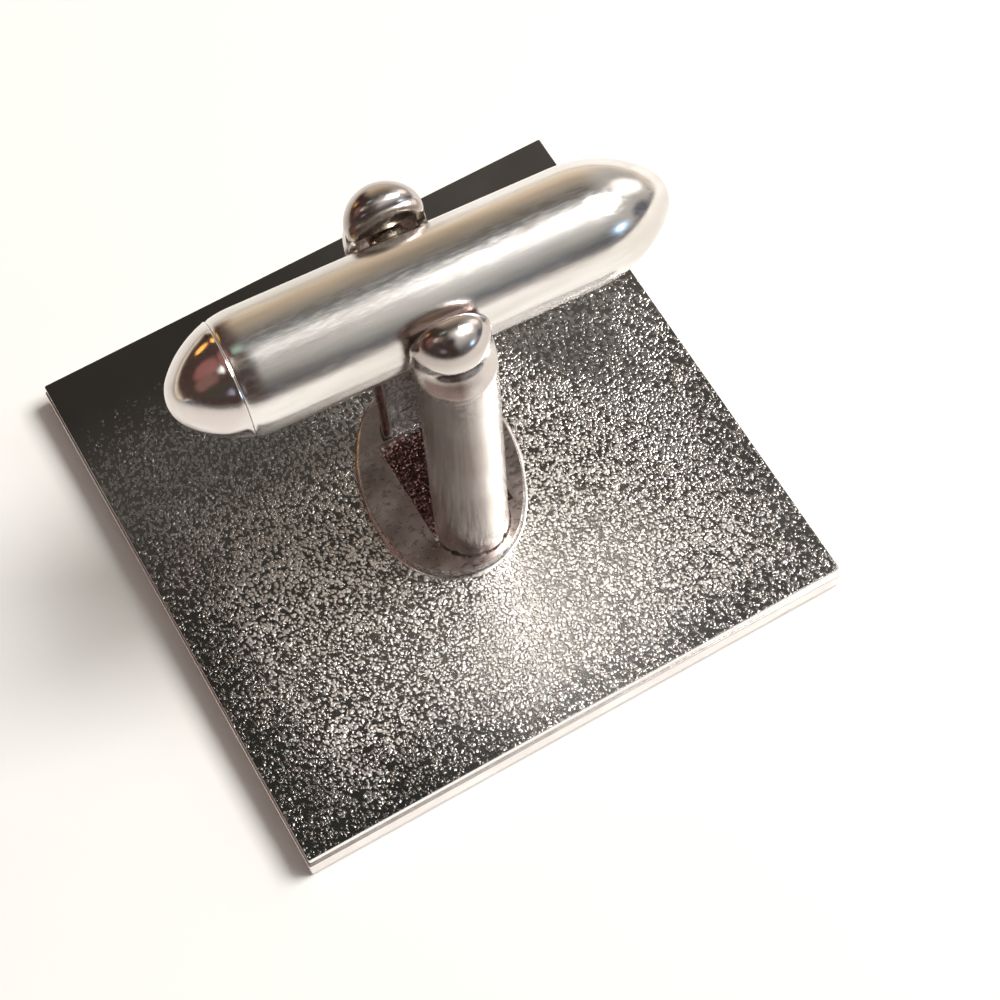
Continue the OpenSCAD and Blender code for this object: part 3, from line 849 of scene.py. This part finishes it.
def turn_piece(name, profile, material, place, segments=160):
    """Turns a closed profile of (place, radius) in millimetres into a mesh in the frame."""
    line = bpy.data.meshes.new(name + "_profile")
    line.from_pydata([(along * mm, radius * mm, 0) for along, radius in profile],
                     [(i, i + 1) for i in range(len(profile) - 1)], [])
    blank = bpy.data.objects.new(name + "_blank", line)
    bpy.context.scene.collection.objects.link(blank)
    lathe = blank.modifiers.new("lathe", "NODES")
    lathe.node_group = turned
    for item in turned.interface.items_tree:
        if item.in_out == "INPUT" and item.name != "Profile":
            lathe[item.identifier] = {"Points": len(profile), "Segments": segments,
                                      "Finish": material}[item.name]
    mesh = baked(blank)
    shape = bmesh.new()
    shape.from_mesh(mesh)
    bmesh.ops.remove_doubles(shape, verts=shape.verts, dist=merge_gap)
    empty = [face for face in shape.faces if face.calc_area() < least_area]
    bmesh.ops.delete(shape, geom=empty, context="FACES")
    shape.to_mesh(mesh)
    shape.free()
    upright(mesh)
    mesh.transform(place)
    return mesh


def satin_tube_metal():
    """Satin along the straight part, which gives way to a polish on the nose."""
    plating = plated("bar_metal", (0.91, 0.88, 0.85), (0.72, 0.68, 0.64), 1.1 * mm, 0.16,
                     (0.19, 0.27), 0.028 * mm, {"Rotation": (0, 0, -fork_turn)})
    polished = remap(plating.tree, parts_of(plating.tree, plating.place)[0], 5.2 * mm, 7.5 * mm)
    plating.tree.links.new(maths(plating.tree, "MULTIPLY_ADD", polished, -0.06, plating.rough),
                           plating.skin.inputs["Roughness"])
    return plating.metal


def moved(profile, start, way=1):
    """A profile carried to its start, pointing along the bar (1) or back (-1)."""
    return [(start + way * along, radius) for along, radius in profile]


closed_nose = moved(nose(bar_r, nose_h, nose_tip_r), nose_start)
cap_nose = moved(nose(bar_r, cap_h, cap_tip_r), cap_start, -1)
seam_r = float(np.interp(-seam, *zip(*[(-along, radius) for along, radius in cap_nose])))
straight = [(along, bar_r) for along in np.linspace(cap_start, nose_start, 40)[1:-1]]
bore_nose = moved(nose(bore_r, nose_h - wall, nose_tip_r - wall, 10), nose_start)
# From the bore's tip out to the seam's rounded lip, and back along the outside.
tube_profile = bore_nose[::-1] + [(seam, bore_r)]
tube_profile += [(seam + away, seam_r - deep) for away, deep in tube_lip]
tube_profile += [point for point in cap_nose if point[0] > seam + lip_end][::-1]
tube_profile += straight + closed_nose

bar_metal = satin_tube_metal()
tube_mesh = turn_piece("bar_tube", tube_profile, bar_metal, bar_place, 176)
# The bush holes go through both walls at the pivot.
hole = bmesh.new()
bmesh.ops.create_cone(hole, cap_ends=True, segments=48, radius1=bush_hole_r, radius2=bush_hole_r,
                      depth=8 * mm)
cutter_mesh = bpy.data.meshes.new("bush_hole")
hole.to_mesh(cutter_mesh)
hole.free()
cutter_mesh.transform(Matrix.Translation(pivot) @ pin_way.to_track_quat("Z", "Y").to_matrix().to_4x4())
cutter = bpy.data.objects.new("bush_hole", cutter_mesh)
bpy.context.scene.collection.objects.link(cutter)
tube_blank = bpy.data.objects.new("tube_blank", tube_mesh)
bpy.context.scene.collection.objects.link(tube_blank)
drill = tube_blank.modifiers.new("bush holes", "BOOLEAN")
drill.operation = "DIFFERENCE"
drill.solver = "EXACT"
drill.object = cutter
tube_mesh = baked(tube_blank)
bpy.data.objects.remove(cutter)
tube = finish_mesh("bar_tube", tube_mesh, [bar_metal], "bar")
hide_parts("toggle_tube")

# End cap, pressed to the bar's pointed shape and polished, with a spigot that sits
# in the bore. It stands a hair proud of the tube, and a fine seam shows between them.

spigot_r, spigot_h, spigot_bore = 1.69, 1.3, 1.33
spigot_end = seam + spigot_h
bore_depth = 2.2
proud, proud_fade = 0.012, 0.6
cap_lip = ((0.0, 0.045), (0.015, 0.0), (0.05, -proud))

cap_bore = moved(nose(spigot_bore, bore_depth - wall, cap_tip_r - wall, 10), seam, -1)
# From the bore's tip out round the spigot to the seam, and back along the outside.
cap_profile = cap_bore[::-1]
cap_profile += [(spigot_end, spigot_bore), (spigot_end, spigot_r), (seam, spigot_r)]
cap_profile += [(seam - away, seam_r - deep) for away, deep in cap_lip]
cap_profile += [(along, radius + proud * max(0, 1 - (seam - along) / proud_fade))
                for along, radius in cap_nose if along < seam - lip_end]

cap_metal = plated("cap_metal", (0.88, 0.85, 0.82), (0.74, 0.68, 0.65), 1.6 * mm, 0.7,
                   (0.08, 0.15), 0.02 * mm).metal
cap = finish_mesh("bar_cap", turn_piece("bar_cap", cap_profile, cap_metal, bar_place),
                  [cap_metal], "bar")
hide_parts("toggle_cap")

# Pivot pin, turned, with a neck inside the bar where its flats are. It runs through
# the bushes, and the heads of the legs are closed in over its ends.

pin_r, pin_half = 0.63, 3.40
neck_r, neck_half, neck_edge = 0.48, 1.10, 0.02
# The rounded end: rows of distance from the end and depth under the surface.
pin_end = ((0.16, 0.0), (0.06, 0.05), (0.0, 0.13))

half_pin = [(neck_half, neck_r), (neck_half, pin_r - neck_edge), (neck_half + neck_edge, pin_r)]
half_pin += [(pin_half - away, pin_r - deep) for away, deep in pin_end] + [(pin_half, 0.0)]
pin_profile = moved(half_pin[::-1], 0, -1) + half_pin
pin_metal = plated("pin_metal", (0.80, 0.73, 0.62), (0.58, 0.52, 0.42), 0.8 * mm, 6.0,
                   (0.16, 0.28), 0.012 * mm).metal
pin_place = Matrix.Translation(pivot) @ Matrix.Rotation(fork_turn + math.pi / 2, 4, "Z")
pin = finish_mesh("pin", turn_piece("pin", pin_profile, pin_metal, pin_place, 64), [pin_metal],
                  "plate_and_fork")
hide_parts("pivot_pin")

# Bushes, two short turned sleeves pressed into the bar's walls, standing a hair
# proud beside the heads. Worn plating over brass. Nodes of the solid model.

bush_metal = plated("bush_metal", (0.78, 0.70, 0.56), (0.60, 0.48, 0.33), 0.6 * mm, 1.0,
                    (0.20, 0.34), 0.01 * mm).metal


def dress_node(name, metal):
    """Gives a node of the solid model its finish."""
    finishes = frame["nodes"][name].data.materials
    finishes.clear()
    finishes.append(metal)


for name in ("front_bush", "rear_bush"):
    dress_node(name, bush_metal)

# Spring, a hairpin of spring strip inside the bar, which presses on the pin's
# flats. Plain rolled steel with a grey skin. A node of the solid model.

spring_metal = plated("spring_metal", (0.50, 0.51, 0.53), (0.34, 0.35, 0.37), 1.2 * mm, 0.1,
                      (0.25, 0.4), 0.008 * mm).metal
dress_node("detent_spring", spring_metal)

# Studio, a plain pale floor with one soft lamp high on the right. The room is pale
# high in front and low at the back, and dim between, with soft cards and three
# small coloured lamps that the metal mirrors.

floor_half, floor_drop = 2.0, 0.01 * mm
floor_colour, floor_glow = (0.96, 0.945, 0.91, 1), (0.05, 0.048, 0.044)
# The room's colours by degrees: -90 is level in front, 0 straight above, 90 level behind.
# They reach 0.3 radians below level at both ends.
below_level = 0.3
room_colours = (
    (-98, (0.85, 0.76, 0.68)), (-89, (0.24, 0.21, 0.20)), (-77, (0.12, 0.13, 0.15)),
    (-64, (0.22, 0.22, 0.21)), (-50, (0.50, 0.50, 0.48)), (-38, (0.74, 0.73, 0.71)),
    (-22, (0.86, 0.85, 0.83)), (-8, (0.66, 0.64, 0.61)), (4, (0.30, 0.29, 0.27)),
    (16, (0.12, 0.12, 0.12)), (32, (0.17, 0.15, 0.13)), (44, (0.32, 0.28, 0.22)),
    (56, (0.44, 0.36, 0.27)), (68, (0.66, 0.52, 0.38)), (80, (0.82, 0.68, 0.52)),
    (92, (1.0, 0.88, 0.71)), (104, (1.1, 1.02, 0.9)))
dark_left, grey_right = (0.075, 0.048, 0.041), (0.55, 0.53, 0.50)
# Azimuth from +Y towards +X, elevation, inner and outer radius in degrees, colour.
cards = (
    (126, 62, 8, 15, (1.7, 1.68, 1.64)), (-95, 61, 5, 11, (1.4, 1.38, 1.35)),
    (-111, 66, 5, 13, (0.31, 0.27, 0.20)), (-160, 62, 8, 17, (0.055, 0.045, 0.045)),
    (-69, 43, 8, 18, (0.34, 0.15, 0.14)), (-94, 36, 8, 16, (0.24, 0.13, 0.11)),
    (-122, 29, 8, 18, (0.07, 0.06, 0.05)), (-141, 29, 4, 9, (0.36, 0.33, 0.43)),
    (-7, 12, 6, 14, (0.05, 0.02, 0.012)), (-28, 22, 3.5, 6.5, (1.7, 0.85, 0.18)),
    (78, 27, 9, 18, (1.8, 1.72, 1.66)), (115, 9, 7, 14, (0.14, 0.145, 0.18)),
    (142, 16, 4.8, 8.6, (0.55, 1.15, 2.1)), (142, 16, 2.6, 6.2, (2.2, 2.8, 3.2)),
    (-26, 73, 3, 8, (0.46, 0.64, 0.52)))
light_share = 0.68
lamp_azimuth, lamp_elevation, lamp_distance = 104, 56, 0.42
lamp_side, lamp_radiance, lamp_colour = 0.18, 18.0, (1.0, 0.99, 0.975)
lamp_aim = Vector((0, 0, 8 * mm))


def way_to(azimuth, elevation):
    """A direction from the object, in degrees."""
    turn, rise = math.radians(azimuth), math.radians(elevation)
    return Vector((math.sin(turn) * math.cos(rise), math.cos(turn) * math.cos(rise),
                   math.sin(rise)))


def looked_at(tree):
    """1 where the camera looks, straight or by way of metal or glass, and 0 for light."""
    path = add(tree, "ShaderNodeLightPath")
    mirrored = maths(tree, "MAXIMUM", path.outputs["Is Glossy Ray"],
                     path.outputs["Is Transmission Ray"])
    return maths(tree, "MAXIMUM", path.outputs["Is Camera Ray"], mirrored)


def pale_floor():
    made, tree, skin = new_material("floor_paint")
    skin.inputs["Base Color"].default_value = floor_colour
    skin.inputs["Roughness"].default_value = 0.8
    skin.inputs["Specular IOR Level"].default_value = 0.2
    glow = blend_colour(tree, looked_at(tree), (0.0, 0.0, 0.0), floor_glow)
    tree.links.new(glow, skin.inputs["Emission Color"])
    skin.inputs["Emission Strength"].default_value = 1.0
    mesh = bpy.data.meshes.new("floor")
    corners = [(-1, -1), (1, -1), (1, 1), (-1, 1)]
    mesh.from_pydata([(x * floor_half, y * floor_half, -floor_drop) for x, y in corners],
                     [], [(0, 1, 2, 3)])
    mesh.materials.append(made)
    floor = bpy.data.objects.new("floor", mesh)
    bpy.context.scene.collection.objects.link(floor)
    return floor


def light_room():
    world = bpy.data.worlds.new("room")
    bpy.context.scene.world = world
    world.use_nodes = True
    tree = world.node_tree
    tree.nodes.clear()
    look = add(tree, "ShaderNodeTexCoord").outputs["Generated"]
    x, y, z = parts_of(tree, look)
    end = math.pi / 2 + below_level
    share = remap(tree, maths(tree, "ARCTAN2", y, z), -end, end, smooth=False)
    colour = ramp(tree, share, [((math.radians(degrees) + end) / (2 * end), tone)
                                for degrees, tone in room_colours])
    up = remap(tree, z, 0.02, 0.16)
    left = maths(tree, "MULTIPLY", remap(tree, x, 0.07, -0.09), up)
    colour = blend_colour(tree, left, colour, dark_left)
    right = maths(tree, "MULTIPLY", remap(tree, x, 0.42, 0.70), up)
    colour = blend_colour(tree, right, colour, grey_right)
    for azimuth, elevation, inner, outer, tone in cards:
        near = add(tree, "ShaderNodeVectorMath", {0: look, 1: way_to(azimuth, elevation)},
                   operation="DOT_PRODUCT").outputs["Value"]
        inside = remap(tree, near, math.cos(math.radians(outer)), math.cos(math.radians(inner)))
        colour = blend_colour(tree, inside, colour, tone)
    strength = maths(tree, "MULTIPLY_ADD", looked_at(tree), 1 - light_share, light_share)
    background = add(tree, "ShaderNodeBackground", {"Color": colour, "Strength": strength})
    add(tree, "ShaderNodeOutputWorld", {"Surface": background.outputs[0]})


def light_lamp():
    way = way_to(lamp_azimuth, lamp_elevation)
    lamp = bpy.data.lights.new("key_lamp", "AREA")
    lamp.shape = "RECTANGLE"
    lamp.size = lamp_side
    lamp.size_y = lamp_side
    lamp.energy = lamp_radiance * math.pi * lamp_side * lamp_side
    lamp.color = lamp_colour
    holder = bpy.data.objects.new("key_lamp", lamp)
    holder.location = lamp_aim + way * lamp_distance
    holder.rotation_mode = "QUATERNION"
    holder.rotation_quaternion = (-way).to_track_quat("-Z", "Y")
    bpy.context.scene.collection.objects.link(holder)


floor = pale_floor()
light_room()
light_lamp()

# Camera, solved from the plate's corners and the bar's outline in the photograph.
# It looks down on the cufflink from the front left.

camera = bpy.data.cameras.new("camera")
camera.lens, camera.sensor_width = 89.007, 36.0
camera.clip_start, camera.clip_end = 0.001, 20.0
camera_place = Matrix.Translation((-15.3334 * mm, -39.1630 * mm, 84.1031 * mm))
camera_right = Vector((0.868624, -0.493704, -0.041807))
camera_up = Vector((0.459784, 0.771742, 0.439331))
camera_back = Vector((-0.184635, -0.400836, 0.897352))
camera_turn = Matrix((camera_right, camera_up, camera_back)).transposed().to_4x4()
eye = bpy.data.objects.new("camera", camera)
eye.matrix_world = camera_place @ camera_turn
bpy.context.scene.collection.objects.link(eye)
bpy.context.scene.camera = eye
bpy.context.scene.view_settings.view_transform = "Standard"
